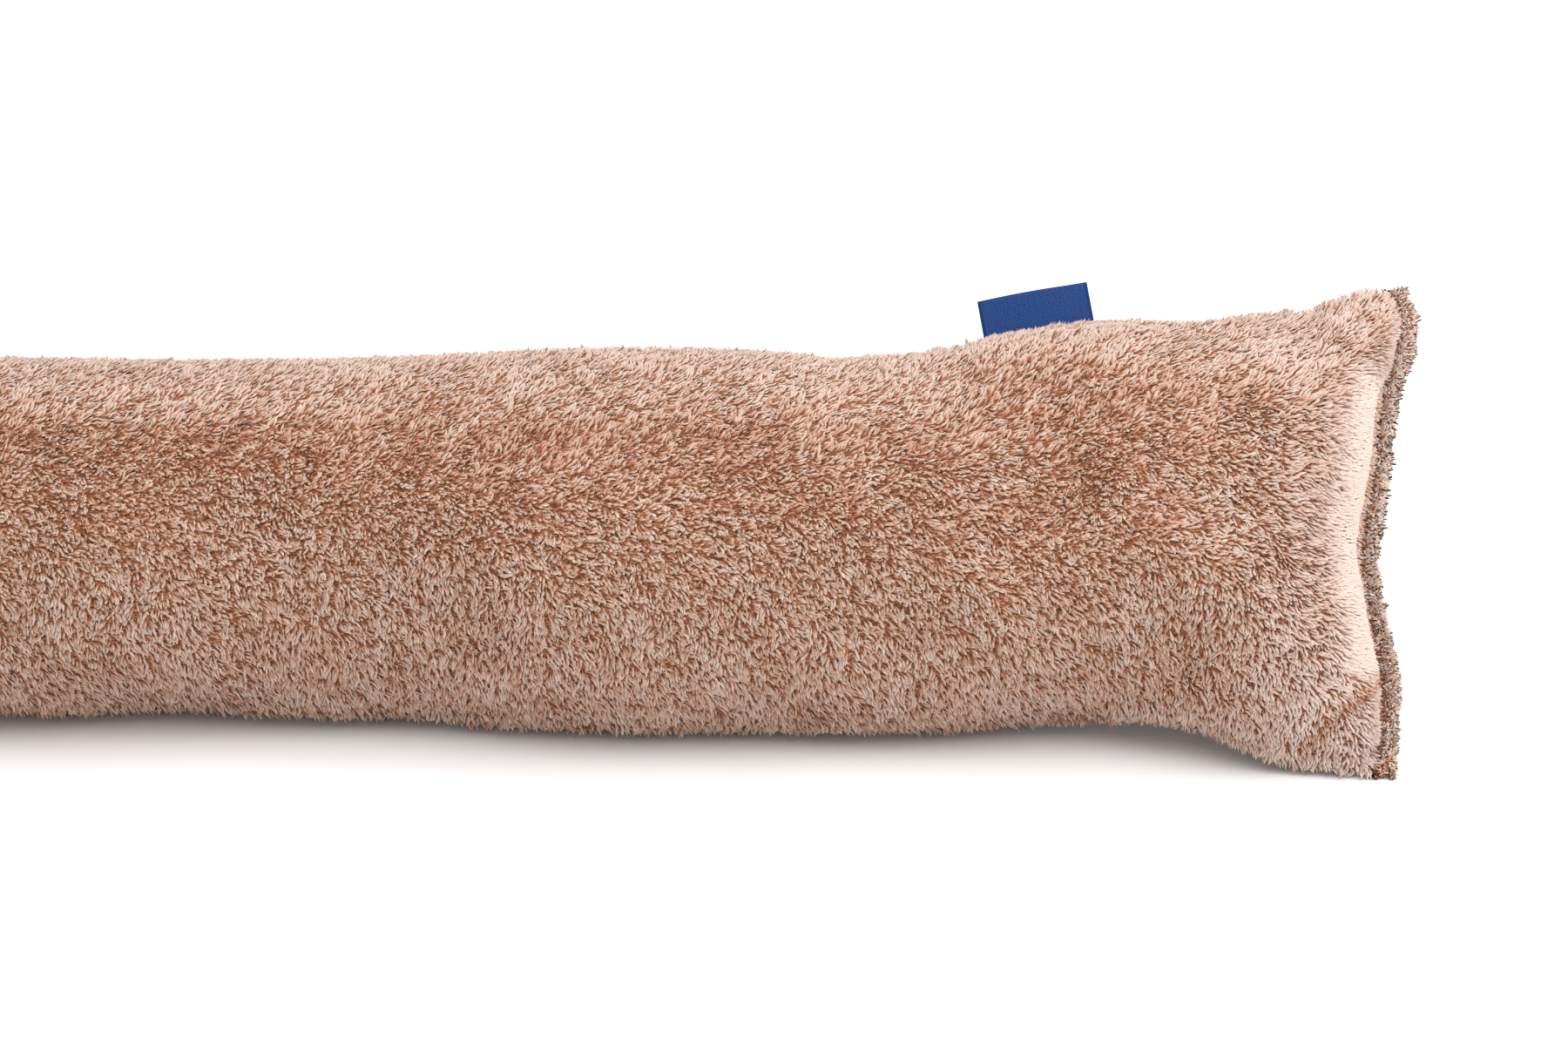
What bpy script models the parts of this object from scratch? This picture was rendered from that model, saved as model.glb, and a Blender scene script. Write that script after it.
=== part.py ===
"""Draught excluder: a plush fleece tube stuffed with soft fibre, lying on the floor.

The cloth is one panel, folded lengthwise and seamed along its top edge. Each end is pressed flat and topstitched,
so the round body flares there into two pinched corners. A folded woven label is caught in the top seam.
X runs along the tube, with the labelled end at +X, Z is up, and the front is at -Y. All sizes are in metres.
"""

import math

import bmesh
import bpy
from mathutils import Matrix, Vector

# The tube
LENGTH = 0.900
BODY_DEPTH = 0.064  # half the depth of the stuffed body, front to back
SEAM_LEAN = math.radians(38)  # how far the plane through the top seam and the end seams leans back

# The flat ends
END_HALF_WIDTH = 0.093
FLARE_REACH = 0.083
FLARE_POWER = 1.5
FLANGE = 0.008  # cloth outside the topstitching
FLANGE_HALF_THICKNESS = 0.0038
FLANGE_NOSE = 0.003
GROOVE_HALF_THICKNESS = 0.0022
GROOVE_WIDTH = 0.0022
PUFF_REACH = 0.022
PUFF_POWER = 0.50
EAR_THINNESS = 1.3
EAR_REACH = 0.048
EAR_POWER = 1.3
SEAM_FADE = 0.070  # distance over which the end seam's own curve dies out in the body

# The mesh
STEPS_ALONG = 88
STEPS_AROUND = 56
END_CROWDING = 0.90  # 0 spaces the steps evenly, and near 1 gathers them at the ends
WELD = 1e-6

# The body from the labelled end at +X to the far end: where a section is, half its height, how far its middle
# lies behind the X axis, and the height of its underside. A negative one is pressed flat by the weight on it.
SPINE = (
    # x, half_height, middle_y, underside
    (0.450, 0.0690, -0.023, -0.0015),
    (0.395, 0.0690, -0.023, 0.0030),
    (0.340, 0.0690, -0.016, 0.0065),
    (0.300, 0.0700, -0.014, 0.0020),
    (0.255, 0.0700, -0.014, -0.0025),
    (0.190, 0.0698, -0.014, -0.0030),
    (0.140, 0.0692, -0.013, -0.0030),
    (0.095, 0.0672, -0.007, -0.0030),
    (0.035, 0.0655, -0.003, -0.0030),
    (-0.060, 0.0660, -0.004, -0.0030),
    (-0.160, 0.0670, 0.002, -0.0030),
    (-0.260, 0.0685, -0.004, -0.0025),
    (-0.330, 0.0690, -0.010, 0.0035),
    (-0.390, 0.0690, -0.017, 0.0030),
    (-0.450, 0.0690, -0.024, -0.0015),
)

# The end seam from its floor corner at -1 to its top corner at 1: how far it draws in from the corner,
# how far it waves towards the front, and how far the flange outside the stitching turns to the back.
END_SEAM = (
    # across, drawn_in, forward, turned_back
    (-1.00, 0.0150, 0.0000, 0.0000),
    (-0.85, 0.0135, 0.0010, 0.0000),
    (-0.60, 0.0125, 0.0030, -0.0010),
    (-0.35, 0.0155, 0.0000, 0.0000),
    (-0.10, 0.0172, -0.0040, 0.0010),
    (0.20, 0.0122, 0.0000, 0.0030),
    (0.50, 0.0086, 0.0030, 0.0035),
    (0.75, 0.0010, 0.0010, 0.0030),
    (0.88, 0.0000, 0.0000, 0.0020),
    (1.00, 0.0040, -0.0020, 0.0010),
)

# Soft creases between the stuffed body and its flat corners. Each runs over the cloth from a start to an end,
# given as distance from the end seam and place across it.
CREASES = (
    # start_in, start_across, end_in, end_across, depth, width
    (0.008, -0.60, 0.038, -0.90, 0.0045, 0.0070),
    (0.008, 0.72, 0.036, 0.93, 0.0035, 0.0065),
    (0.008, -0.12, 0.034, -0.04, 0.0025, 0.0060),
)
CREASE_FADE = 0.6  # share of its depth that a crease has lost at its end

# The label
LABEL_X = 0.312
LABEL_WIDTH = 0.041
LABEL_SHOWN = 0.0165
LABEL_TUCKED = 0.005
LABEL_LAYER = 0.0009
LABEL_FOLD_GAP = 0.0005
LABEL_TILT = math.radians(2)  # the label's own skew in the seam
SEAM_CLEARANCE = 0.0003
FOLD_STEPS = 6

PLUSH_COLOUR = (0.52, 0.31, 0.23, 1.0)
LABEL_COLOUR = (0.022, 0.060, 0.225, 1.0)


def smooth_row(table, place, column):
    """The value of a column at a place along a table, on a smooth curve through its rows."""
    rows = sorted(table)
    last = len(rows) - 1
    place = min(max(place, rows[0][0]), rows[last][0])
    index = next(i for i in range(last) if place <= rows[i + 1][0])
    start, end = rows[index], rows[index + 1]
    before, after = rows[max(index - 1, 0)], rows[min(index + 2, last)]
    span = end[0] - start[0]
    slope_in = (end[column] - before[column]) / (end[0] - before[0]) * span
    slope_out = (after[column] - start[column]) / (after[0] - start[0]) * span
    t = (place - start[0]) / span
    stay = (2 * t**3 - 3 * t**2 + 1) * start[column] + (3 * t**2 - 2 * t**3) * end[column]
    return stay + (t**3 - 2 * t**2 + t) * slope_in + (t**3 - t**2) * slope_out


def half_thickness(inward):
    """Half the tube's thickness at its middle, this far in from the end seam."""
    if inward <= FLANGE:
        nose = max(0.0, 1 - inward / FLANGE_NOSE)
        flange = FLANGE_HALF_THICKNESS * math.sqrt(1 - nose**2)
        stitched = math.exp(-(((inward - FLANGE) / GROOVE_WIDTH) ** 2))
        return flange - (FLANGE_HALF_THICKNESS - GROOVE_HALF_THICKNESS) * stitched
    puff = 1 - math.exp(-(((inward - FLANGE) / PUFF_REACH) ** PUFF_POWER))
    return GROOVE_HALF_THICKNESS + (BODY_DEPTH - GROOVE_HALF_THICKNESS) * puff


def crease_depth(inward, across):
    """How deep the creases press into the cloth here."""
    here = Vector((inward, across * END_HALF_WIDTH))
    pressed = 0.0
    for start_in, start_across, end_in, end_across, depth, width in CREASES:
        start = Vector((start_in, start_across * END_HALF_WIDTH))
        along = Vector((end_in, end_across * END_HALF_WIDTH)) - start
        share = min(max((here - start).dot(along) / along.length_squared, 0.0), 1.0)
        away = (here - start - along * share).length
        pressed += depth * (1 - CREASE_FADE * share) * math.exp(-((away / width) ** 2))
    return pressed


def section_point(x_along, inward, across, depthwise, end_across):
    """A point of the section, before it is set on the floor: across and depthwise are its cosine and sine."""
    flare = math.exp(-((inward / FLARE_REACH) ** FLARE_POWER))
    half_height = smooth_row(SPINE, x_along, 1)
    half_width = half_height + (END_HALF_WIDTH - half_height) * flare
    half_depth = half_thickness(inward)
    edge = min(half_depth, FLANGE_HALF_THICKNESS * math.exp(-((inward / FLARE_REACH) ** 2)))
    thinness = 1 + EAR_THINNESS * math.exp(-((inward / EAR_REACH) ** EAR_POWER))
    lens = abs(depthwise) ** thinness
    depth = edge * math.sqrt(abs(depthwise)) + (half_depth - edge) * lens
    depth = max(depth - crease_depth(inward, end_across) * lens, min(depth, GROOVE_HALF_THICKNESS))
    depth = math.copysign(depth, depthwise) if depth else 0.0
    fade = math.exp(-((inward / SEAM_FADE) ** 2))
    depth += smooth_row(END_SEAM, end_across, 2) * fade
    depth -= smooth_row(END_SEAM, end_across, 3) * max(0.0, 1 - inward / FLANGE)
    height = half_width * across
    middle_y = smooth_row(SPINE, x_along, 2)
    y = middle_y + height * math.sin(SEAM_LEAN) - depth * math.cos(SEAM_LEAN)
    z = height * math.cos(SEAM_LEAN) + depth * math.sin(SEAM_LEAN)
    return y, z


def ring(place):
    """The section this far along the cloth from the labelled end, standing on the floor."""
    labelled = place <= LENGTH / 2
    inward = min(place, LENGTH - place)
    x_along = LENGTH / 2 - place
    fade = math.exp(-((inward / SEAM_FADE) ** 2))
    underside = smooth_row(SPINE, x_along, 3)
    points = []
    for step in range(STEPS_AROUND + 1):
        angle = 2 * math.pi * step / STEPS_AROUND
        across, depthwise = math.cos(angle), math.sin(angle)
        if step in (0, STEPS_AROUND // 2, STEPS_AROUND):
            depthwise = 0.0
        end_across = across if labelled else -across
        y, z = section_point(x_along, inward, across, depthwise, end_across)
        drawn = smooth_row(END_SEAM, end_across, 1) * fade
        x = x_along - drawn if labelled else x_along + drawn
        points.append(Vector((x, y, z)))
    lowest = min(point.z for point in points)
    for point in points:
        point.z += underside - lowest
    return points


def along_cloth(step):
    """Distance along the tube for a step, with the steps crowded towards both ends."""
    share = step / STEPS_ALONG
    return LENGTH * (share - END_CROWDING * math.sin(2 * math.pi * share) / (2 * math.pi))


def material(name, colour, roughness):
    made = bpy.data.materials.new(name)
    made.use_nodes = True
    shader = made.node_tree.nodes["Principled BSDF"]
    shader.inputs["Base Color"].default_value = colour
    shader.inputs["Roughness"].default_value = roughness
    shader.inputs["Metallic"].default_value = 0.0
    made.diffuse_color = colour
    return made


def object_from(bm, name, collection):
    mesh = bpy.data.meshes.new(name)
    bm.to_mesh(mesh)
    bm.free()
    made = bpy.data.objects.new(name, mesh)
    collection.objects.link(made)
    return made


def filled_cover(collection):
    """A flat grid of cloth rolled into the tube, seamed along the top and closed at both ends."""
    bm = bmesh.new()
    bmesh.ops.create_grid(bm, x_segments=STEPS_ALONG, y_segments=STEPS_AROUND, size=0.5)
    rings = [ring(along_cloth(step)) for step in range(STEPS_ALONG + 1)]
    for vert in bm.verts:
        along = round((vert.co.x + 0.5) * STEPS_ALONG)
        around = round((vert.co.y + 0.5) * STEPS_AROUND)
        vert.co = rings[along][around]
        vert.co.z = max(vert.co.z, 0.0)
    bmesh.ops.remove_doubles(bm, verts=bm.verts, dist=WELD)
    bmesh.ops.recalc_face_normals(bm, faces=bm.faces)
    cover = object_from(bm, "filled_cover", collection)
    cover.data.shade_smooth()
    cover.data.materials.append(material("plush_fleece", PLUSH_COLOUR, 0.95))
    return cover


def seam_frame():
    """Where the label leaves the top seam: its origin there, with X along the seam and Z out of the tube."""
    def on_seam(x):
        return ring(LENGTH / 2 - x)[0]

    root = on_seam(LABEL_X)
    seam_way = (on_seam(LABEL_X + LABEL_WIDTH / 2) - on_seam(LABEL_X - LABEL_WIDTH / 2)).normalized()
    outward = Vector((0, math.sin(SEAM_LEAN), math.cos(SEAM_LEAN)))
    outward = (outward - seam_way * outward.dot(seam_way)).normalized()
    facing = outward.cross(seam_way)
    axes = Matrix((seam_way, facing, outward)).transposed().to_4x4()
    return Matrix.Translation(root) @ axes @ Matrix.Rotation(-LABEL_TILT, 4, "Y")


def label_outline():
    """The folded ribbon seen from its side: up the front layer, over the fold and down the back layer."""
    inner = LABEL_FOLD_GAP / 2
    outer = inner + LABEL_LAYER
    fold_middle = LABEL_SHOWN - outer

    def arc(radius, turns):
        return [(-radius * math.cos(t), fold_middle + radius * math.sin(t)) for t in turns]

    over = [math.pi * step / FOLD_STEPS for step in range(FOLD_STEPS + 1)]
    foot = -LABEL_TUCKED
    return [(-outer, foot), *arc(outer, over), (outer, foot), (inner, foot), *arc(inner, over[::-1]), (-inner, foot)]


def woven_label(collection):
    """The ribbon's side outline, extruded to the label's width."""
    bm = bmesh.new()
    verts = [bm.verts.new((-LABEL_WIDTH / 2, y, z)) for y, z in label_outline()]
    side = bm.faces.new(verts)
    swept = bmesh.ops.extrude_face_region(bm, geom=[side])
    moved = [item for item in swept["geom"] if isinstance(item, bmesh.types.BMVert)]
    bmesh.ops.translate(bm, verts=moved, vec=(LABEL_WIDTH, 0, 0))
    bmesh.ops.recalc_face_normals(bm, faces=bm.faces)
    label = object_from(bm, "woven_label", collection)
    label.data.materials.append(material("woven_ribbon", LABEL_COLOUR, 0.6))
    return label


def cut_label_pocket(cover, seam, cutters):
    """Opens the top seam where the ribbon's two layers are caught in it."""
    bm = bmesh.new()
    bmesh.ops.create_cube(bm, size=1.0)
    half_depth = LABEL_FOLD_GAP / 2 + LABEL_LAYER + SEAM_CLEARANCE
    height = 2 * (LABEL_TUCKED + SEAM_CLEARANCE)
    bmesh.ops.scale(bm, verts=bm.verts, vec=(LABEL_WIDTH + 2 * SEAM_CLEARANCE, 2 * half_depth, height))
    pocket = object_from(bm, "label_pocket", cutters)
    pocket.matrix_world = seam
    pocket.hide_render = True
    pocket.display_type = "WIRE"
    cut = cover.modifiers.new("label pocket", "BOOLEAN")
    cut.operation = "DIFFERENCE"
    cut.object = pocket


def centre_on_floor(pieces):
    """Moves everything so that the origin is under the middle of the whole object's box."""
    bpy.context.view_layer.update()
    corners = [piece.matrix_world @ vert.co for piece in pieces for vert in piece.data.vertices]
    shift = [(min(c[axis] for c in corners) + max(c[axis] for c in corners)) / 2 for axis in (0, 1)]
    for piece in [*pieces, *bpy.data.collections["cutters"].objects]:
        piece.location -= Vector((shift[0], shift[1], 0))


def collection_named(name):
    made = bpy.data.collections.new(name)
    bpy.context.scene.collection.children.link(made)
    return made


def main():
    for old in list(bpy.data.objects):
        bpy.data.objects.remove(old)
    excluder = collection_named("draught_excluder")
    cutters = collection_named("cutters")
    cover = filled_cover(excluder)
    label = woven_label(excluder)
    seam = seam_frame()
    label.matrix_world = seam
    cut_label_pocket(cover, seam, cutters)
    centre_on_floor([cover, label])


main()
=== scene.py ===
# %% [markdown]
# # A plush draught excluder
#
# A draught excluder is a long, soft sausage that lies along the foot of a door. This one is a single
# panel of plush fleece, folded lengthwise and sewn into a tube along its top edge. It is stuffed with
# loose fibre, and each end is pressed flat and topstitched. A small folded ribbon is caught in the top
# seam.
#
# The solids of the part are already packed as a fixed frame. This script dresses them: a filled cover,
# the pile that grows on it, and the ribbon.

import math

import bmesh
import bpy
import numpy as np
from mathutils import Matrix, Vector, noise
from mathutils.bvhtree import BVHTree
from mathutils.kdtree import KDTree


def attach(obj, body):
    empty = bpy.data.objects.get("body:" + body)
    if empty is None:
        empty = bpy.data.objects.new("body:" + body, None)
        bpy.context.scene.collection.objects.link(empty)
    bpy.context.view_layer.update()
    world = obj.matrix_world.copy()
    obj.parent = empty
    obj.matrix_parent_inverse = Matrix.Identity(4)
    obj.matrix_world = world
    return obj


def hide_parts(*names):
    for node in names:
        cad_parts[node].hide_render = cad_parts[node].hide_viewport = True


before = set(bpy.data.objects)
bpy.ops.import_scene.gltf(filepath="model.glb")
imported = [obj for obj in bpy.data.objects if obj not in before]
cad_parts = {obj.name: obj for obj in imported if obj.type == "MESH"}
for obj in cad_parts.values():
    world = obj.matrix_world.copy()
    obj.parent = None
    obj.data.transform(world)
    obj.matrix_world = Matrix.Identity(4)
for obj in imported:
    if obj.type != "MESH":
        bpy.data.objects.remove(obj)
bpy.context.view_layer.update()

MM = 0.001


# %% [markdown]
# ## The camera
#
# The product picture was taken from the front and a little above, through a long lens, with the labelled
# end inside the frame and the far end outside it. A long lens keeps the tube's sides nearly parallel, so
# the camera stands well back. The aim point is on the tube, left of the labelled end.

# %% Camera
PICTURE_WIDTH = 1800
CAMERA_RISE = math.radians(22)
CAMERA_DISTANCE = 1.6
METRES_PER_PIXEL = 0.000314
CAMERA_AIM = Vector((0.2187, -0.004, 0.0710))
SENSOR = 36.0

camera_data = bpy.data.cameras.new("camera")
camera_data.sensor_width = SENSOR
camera_data.lens = CAMERA_DISTANCE / METRES_PER_PIXEL / PICTURE_WIDTH * SENSOR
camera = bpy.data.objects.new("camera", camera_data)
towards_camera = Vector((0, -math.cos(CAMERA_RISE), math.sin(CAMERA_RISE)))
camera.location = CAMERA_AIM + towards_camera * CAMERA_DISTANCE
camera.rotation_euler = towards_camera.to_track_quat("Z", "Y").to_euler()
bpy.context.scene.collection.objects.link(camera)
bpy.context.scene.camera = camera
print("lens", round(camera_data.lens, 1), "mm")


# %% [markdown]
# ## Shader maths as Python
#
# A fabric needs many small sums: a mask times a shade, a wave plus some noise. Wrapping a node's socket
# in a small class lets those sums be written as ordinary expressions, and each one adds its Math node.

# %% A socket that can be added and multiplied
class Value:
    """A number that changes over a surface, held as the output socket of a shader node."""

    def __init__(self, maker, socket):
        self.maker = maker
        self.socket = socket

    def math(self, operation, *others):
        values = {0: self}
        values.update({index + 1: other for index, other in enumerate(others)})
        return self.maker.node("ShaderNodeMath", {"operation": operation}, values)

    def __add__(self, other):
        return self.math("ADD", other)

    def __mul__(self, other):
        return self.math("MULTIPLY", other)

    def __sub__(self, other):
        return self.math("SUBTRACT", other)

    def __rsub__(self, other):
        return self.math("MULTIPLY_ADD", -1.0, other)

    __radd__ = __add__
    __rmul__ = __mul__


class Finish:
    """A material under construction. Its node method adds any node and hands back its first output."""

    def __init__(self, name):
        self.material = bpy.data.materials.new(name)
        self.material.use_nodes = True
        self.tree = self.material.node_tree
        self.shader = self.tree.nodes["Principled BSDF"]

    def node(self, kind, settings=None, values=None, output=0):
        made = self.tree.nodes.new(kind)
        for name, setting in (settings or {}).items():
            if name == "stops":
                self.set_stops(made.color_ramp, setting)
            else:
                setattr(made, name, setting)
        for key, value in (values or {}).items():
            self.feed(made.inputs[key], value)
        return Value(self, made.outputs[output])

    def set_stops(self, ramp, stops):
        while len(ramp.elements) < len(stops):
            ramp.elements.new(1.0)
        for element, (place, colour) in zip(ramp.elements, stops):
            element.position = place
            element.color = (*colour, 1.0)

    def feed(self, socket, value):
        if isinstance(value, Value):
            self.tree.links.new(value.socket, socket)
        else:
            socket.default_value = value

    def shade(self, **values):
        for name, value in values.items():
            self.feed(self.shader.inputs[name.replace("_", " ")], value)
        return self.material


def linear(red, green, blue):
    """A colour given on a screen's scale, 0 to 255, as the linear light that Blender wants."""
    shares = (red / 255, green / 255, blue / 255)
    return tuple(((share + 0.055) / 1.055) ** 2.4 if share > 0.04 else share / 12.92 for share in shares)


# %% [markdown]
# ## The filled cover
#
# Under the pile there is a knitted backing, blown up tight by the stuffing. It starts as a copy of the
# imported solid, whose triangles are loose, so their shared corners are merged first and pairs of triangles
# become quads again. The solid's face is at the mean height of the pile, so the backing is drawn in by
# most of the pile's length. At the thin sewn ends it is drawn in less, or its two layers would pass
# through each other.

# %% Copy the solid and merge its corners
PILE_HEIGHT = 2.0 * MM
THIN_SHARE = 0.34  # of the local thickness that the backing may draw in by
LABEL_MARGIN = 0.35 * MM


def label_axes():
    """The middle of the folded label and its three own directions: across, up and through it."""
    points = np.array([vert.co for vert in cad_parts["woven_label"].data.vertices])
    points = np.unique(points.round(7), axis=0)
    middle = (points.min(0) + points.max(0)) / 2
    ways = np.linalg.svd(points - points.mean(0), full_matrices=False)[2]
    reach = (points - middle) @ ways.T
    middle = middle + (reach.max(0) + reach.min(0)) / 2 @ ways
    size = reach.max(0) - reach.min(0)
    ways *= np.sign([ways[0][0], ways[1][2], -ways[2][1]])[:, None]
    return middle, ways, size


label_middle, label_ways, label_size = label_axes()
print("the label measures", (label_size / MM).round(1), "mm")


def near_label(points, margin):
    """Which points lie inside the label's own box, grown by a margin."""
    reach = np.abs((np.array(points) - label_middle) @ label_ways.T)
    return (reach < label_size / 2 + margin).all(axis=1)


def backing_mesh():
    """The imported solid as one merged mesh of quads, with the label's pocket closed over."""
    bm = bmesh.new()
    bm.from_mesh(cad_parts["filled_cover"].data)
    bmesh.ops.remove_doubles(bm, verts=bm.verts, dist=1e-5)
    inside = near_label([vert.co for vert in bm.verts], LABEL_MARGIN)
    pocket = {vert for vert, held in zip(bm.verts, inside) if held}
    faces = [face for face in bm.faces if all(vert in pocket for vert in face.verts)]
    bmesh.ops.delete(bm, geom=faces, context="FACES")
    rim = [edge for edge in bm.edges if edge.is_boundary]
    bmesh.ops.holes_fill(bm, edges=rim, sides=0)
    bmesh.ops.triangulate(bm, faces=[face for face in bm.faces if len(face.verts) > 4])
    bmesh.ops.join_triangles(
        bm, faces=bm.faces, angle_face_threshold=0.5, angle_shape_threshold=1.2, cmp_seam=False
    )
    bmesh.ops.recalc_face_normals(bm, faces=bm.faces)
    print("backing:", len(bm.verts), "corners,", len(bm.faces), "faces, open edges:",
          sum(edge.is_boundary for edge in bm.edges))
    return bm


def draw_in(bm):
    """Moves each point inwards by the pile's height, or less where the piece is thin."""
    bm.normal_update()
    tree = BVHTree.FromBMesh(bm)
    moves = []
    for vert in bm.verts:
        inward = -vert.normal
        hit = tree.ray_cast(vert.co + inward * 0.1 * MM, inward)[3]
        thickness = hit if hit else PILE_HEIGHT / THIN_SHARE
        moves.append(inward * min(PILE_HEIGHT, THIN_SHARE * thickness))
    for vert, move in zip(bm.verts, moves):
        vert.co += move


backing = backing_mesh()
draw_in(backing)
skin_mesh = bpy.data.meshes.new("plush_cover")
backing.to_mesh(skin_mesh)
backing.free()
cover = bpy.data.objects.new("plush_cover", skin_mesh)
bpy.context.scene.collection.objects.link(cover)


# %% Places along and across the cover
SEAM_LEAN = math.radians(38)
UP_THE_SEAM = np.array((0.0, math.sin(SEAM_LEAN), math.cos(SEAM_LEAN)))
THROUGH_THE_SEAM = np.array((0.0, -math.cos(SEAM_LEAN), math.sin(SEAM_LEAN)))
END_ZONE = 60 * MM
EDGE_BINS = 48
NEIGHBOUR_BINS = 4
USUAL_PERCENTILE = 60
MOST_DIP = 2 * MM  # a bin that reaches less far than its neighbours by this much holds no point of the edge


def coordinates(mesh):
    flat = np.empty(len(mesh.vertices) * 3)
    mesh.vertices.foreach_get("co", flat)
    return flat.reshape(-1, 3)


class SewnEnd:
    """The stitched edge at one end, as the cover has it: how far out it reaches at each place across."""

    def __init__(self, points, way):
        self.way = way
        out = points[:, 0] * way
        near = points[out > out.max() - END_ZONE]
        across = near @ UP_THE_SEAM
        self.low, self.high = across.min(), across.max()
        edges = np.linspace(self.low, self.high, EDGE_BINS + 1)
        places = np.clip(np.digitize(across, edges) - 1, 0, EDGE_BINS - 1)
        reach = np.array([
            (near[places == i, 0] * way).max() if (places == i).any() else np.nan for i in range(EDGE_BINS)
        ])
        self.middles = (edges[1:] + edges[:-1]) / 2
        usual = np.array([
            np.nanpercentile(reach[max(0, i - NEIGHBOUR_BINS):i + NEIGHBOUR_BINS + 1], USUAL_PERCENTILE)
            for i in range(EDGE_BINS)
        ])
        known = reach > usual - MOST_DIP
        whole = np.interp(self.middles, self.middles[known], reach[known])
        self.reach = np.convolve(np.pad(whole, 1, mode="edge"), np.full(3, 1 / 3), mode="valid")

    def inward(self, points):
        """How far in from the stitched edge each point lies."""
        return np.interp(points @ UP_THE_SEAM, self.middles, self.reach) - points[:, 0] * self.way

    def across(self, points):
        """-1 at the lower corner of this end and 1 at its top corner."""
        return (points @ UP_THE_SEAM - self.low) / (self.high - self.low) * 2 - 1


def from_the_edge(points):
    """How far in from the nearer stitched edge each point lies."""
    return np.minimum(labelled_end.inward(points), far_end.inward(points))


skin_points = coordinates(skin_mesh)
labelled_end = SewnEnd(skin_points, 1)
far_end = SewnEnd(skin_points, -1)
print("labelled end reaches", labelled_end.reach.min().round(4), "to", labelled_end.reach.max().round(4))


# %% [markdown]
# ## Stuffing the cover
#
# Stuffing pushes the cloth out until the stitches stop it, and that is where a soft thing gets its small
# puckers. A cloth simulation with air pressure inside does the same. The stitched ends and the strip that
# lies on the floor are pinned, gravity is off, and the cloth is a little too large, so that it buckles
# near the stitches. The overall swell is taken out again by averaging each move over its neighbours and
# keeping what is left, which is the puckers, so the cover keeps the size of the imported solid.

# %% Cloth simulation
FILL_PRESSURE = 3.0
CLOTH_EXTRA = 0.025
LAST_FRAME = 20
MOST_MOVE = 2.2 * MM
SOFTENING_ROUNDS = 3
AVERAGING_ROUNDS = 26
PIN_REACH = 10 * MM
PIN_FADE = 26 * MM
FLOOR_HELD = 4 * MM
FLOOR_CLEAR = 0.3 * MM


def pin_weights(points):
    sewn = np.clip(1 - (from_the_edge(points) - PIN_REACH) / PIN_FADE, 0, 1)
    return np.where(points[:, 2] < FLOOR_HELD, 1.0, sewn**2)


def averaged(mesh, moves, rounds):
    """Each move, averaged over its neighbours this many times."""
    edges = np.array([edge.vertices[:] for edge in mesh.edges])
    count = np.bincount(edges.ravel(), minlength=len(moves))[:, None]
    average = moves
    for _ in range(rounds):
        total = np.zeros_like(moves)
        np.add.at(total, edges[:, 0], average[edges[:, 1]])
        np.add.at(total, edges[:, 1], average[edges[:, 0]])
        average = average * 0.5 + total / count * 0.5
    return average


def without_swell(mesh, moves):
    """The puckers alone: each move, softened a little, less the average of the moves around it."""
    return averaged(mesh, moves, SOFTENING_ROUNDS) - averaged(mesh, moves, AVERAGING_ROUNDS)


def stuffed(piece):
    """Runs the cloth simulation on a piece and keeps the puckers that it makes, with each move capped."""
    before = coordinates(piece.data)
    group = piece.vertex_groups.new(name="sewn")
    for index, weight in enumerate(pin_weights(before)):
        group.add([index], float(weight), "REPLACE")
    cloth = piece.modifiers.new("stuffing", "CLOTH")
    settings = cloth.settings
    settings.quality = 6
    settings.mass = 0.2
    settings.tension_stiffness = settings.compression_stiffness = 12
    settings.shear_stiffness = 6
    settings.bending_stiffness = 0.4
    settings.use_pressure = True
    settings.uniform_pressure_force = FILL_PRESSURE
    settings.shrink_min = settings.shrink_max = -CLOTH_EXTRA
    settings.vertex_group_mass = "sewn"
    settings.effector_weights.gravity = 0
    cloth.collision_settings.use_collision = False
    scene = bpy.context.scene
    scene.frame_start, scene.frame_end = 1, LAST_FRAME
    cloth.point_cache.frame_start, cloth.point_cache.frame_end = 1, LAST_FRAME
    for step in range(1, LAST_FRAME + 1):
        scene.frame_set(step)
    shown = piece.evaluated_get(bpy.context.evaluated_depsgraph_get())
    moved = coordinates(shown.to_mesh()) - before
    shown.to_mesh_clear()
    piece.modifiers.remove(cloth)
    scene.frame_set(1)
    moved = without_swell(piece.data, moved)
    length = np.linalg.norm(moved, axis=1, keepdims=True)
    moved *= np.minimum(1, MOST_MOVE / np.maximum(length, 1e-9))
    print("puckers move the cloth by", (length.mean() / MM).round(2), "mm on average, at most",
          (length.max() / MM).round(2))
    after = before + moved
    after[:, 2] = np.maximum(after[:, 2], before[:, 2].min())
    piece.data.vertices.foreach_set("co", after.ravel())
    piece.data.update()


stuffed(cover)

bm = bmesh.new()
bm.from_mesh(skin_mesh)
bmesh.ops.subdivide_edges(bm, edges=bm.edges, cuts=1, use_grid_fill=True, smooth=0.6)
for vert in bm.verts:
    vert.co.z = max(vert.co.z, FLOOR_CLEAR)
bmesh.ops.recalc_face_normals(bm, faces=bm.faces)
bm.to_mesh(skin_mesh)
bm.free()
skin_mesh.shade_smooth()
print("cover:", len(skin_mesh.polygons), "faces")


# %% [markdown]
# ## Where the pile grows
#
# Plush pile is knitted into the backing in small loops that are cut open, so the fibres stand close
# together, evenly spaced but never in rows. A Poisson disc scatter makes such places: random points, none
# closer than a set distance. The Distribute Points on Faces node does it in a moment, and the points are
# read back as vertices that carry the surface's normal. The points are roots of small locks, a handful of
# fibres each. The thin sewn edges get a second scatter, and underneath the pile thins out.

# %% Scatter the locks
LOCK_PITCH = 0.90 * MM
SCATTER_SEED = 7


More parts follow.
